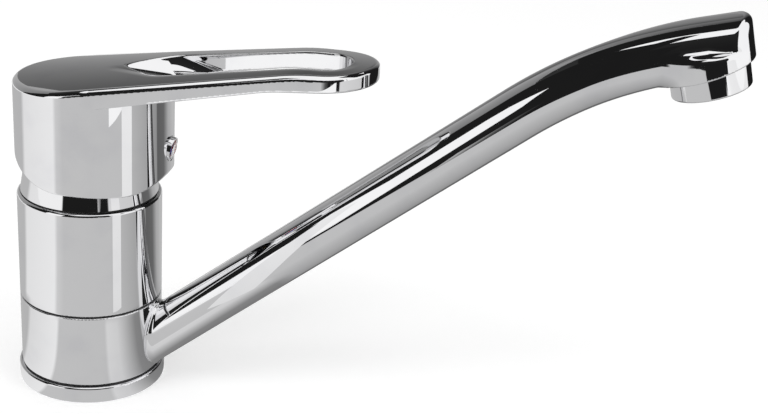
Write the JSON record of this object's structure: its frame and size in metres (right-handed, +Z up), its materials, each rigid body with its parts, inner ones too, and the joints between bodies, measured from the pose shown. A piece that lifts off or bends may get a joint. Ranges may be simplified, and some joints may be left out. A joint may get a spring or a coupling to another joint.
{
  "type": "single-lever kitchen mixer tap",
  "caption": "Chromed single-lever mixer tap with a round column, a low rising swivel spout with an aerator, and a slotted loop lever over a ceramic cartridge.",
  "frame": {"origin": "column axis on the deck plane, at the underside of the foot ring and spigot", "axes": "+Z up the column, +X along the spout and the lever at rest, +Y to the left when looking along +X"},
  "size_m": [0.2435, 0.052, 0.1573],
  "materials": {
    "chrome": "polished chrome plate",
    "brass": "turned",
    "black_rubber": "moulded",
    "dark_glide_plastic": "moulded",
    "grey_cartridge_plastic": "moulded",
    "white_ceramic": "lapped alumina ceramic",
    "steel": "stainless",
    "hot_red": "moulded",
    "cold_blue": "moulded",
    "clear_lens": "clear moulded plastic"
  },
  "bodies": {
    "body": {"main_body": "chrome", "base_ring": "chrome", "deck_gasket": "black_rubber", "lower_glide_ring": "dark_glide_plastic", "upper_glide_ring": "dark_glide_plastic", "spigot_seals": "black_rubber", "cartridge_base": "grey_cartridge_plastic", "cartridge_port_seals": "black_rubber", "cartridge_housing": "grey_cartridge_plastic", "fixed_ceramic_disc": "white_ceramic", "retaining_nut": "brass", "dome_gasket": "black_rubber", "dome_cover": "chrome"},
    "spout": {"swivel_collar": "chrome", "spout_tube": "chrome", "aerator_housing": "chrome", "aerator_screens": "steel", "aerator_insert": "dark_glide_plastic", "aerator_washer": "black_rubber"},
    "carrier": {"stem_carrier": "grey_cartridge_plastic", "pivot_pin": "steel"},
    "handle": {"lever_handle": "chrome", "lever_stem": "brass", "handle_set_screw": "steel", "index_plug": "chrome", "hot_mark": "hot_red", "cold_mark": "cold_blue", "index_lens": "clear_lens"},
    "disc": {"moving_ceramic_disc": "white_ceramic", "disc_driver": "grey_cartridge_plastic"}
  },
  "joints": [
    {"name": "spout_swivel", "type": "hinge", "parent": "body", "child": "spout", "pos_m": [0, 0, 0.01955], "axis": [0, 0, 1], "continuous": true},
    {"name": "temperature_turn", "type": "hinge", "parent": "body", "child": "carrier", "pos_m": [0, 0, 0.06283], "axis": [0, 0, 1], "range_deg": [-50, 50]},
    {"name": "flow_lift", "type": "hinge", "parent": "carrier", "child": "handle", "pos_m": [0, 0, 0.06283], "axis": [0, -1, 0], "range_deg": [0, 25]},
    {"name": "disc_slide", "type": "slide", "parent": "carrier", "child": "disc", "axis": [1, 0, 0], "range_m": [0, 0.0043]}
  ],
  "couplings": [
    {"joint": "disc_slide", "follows": "flow_lift", "m_per_rad": 0.0097224}
  ]
}
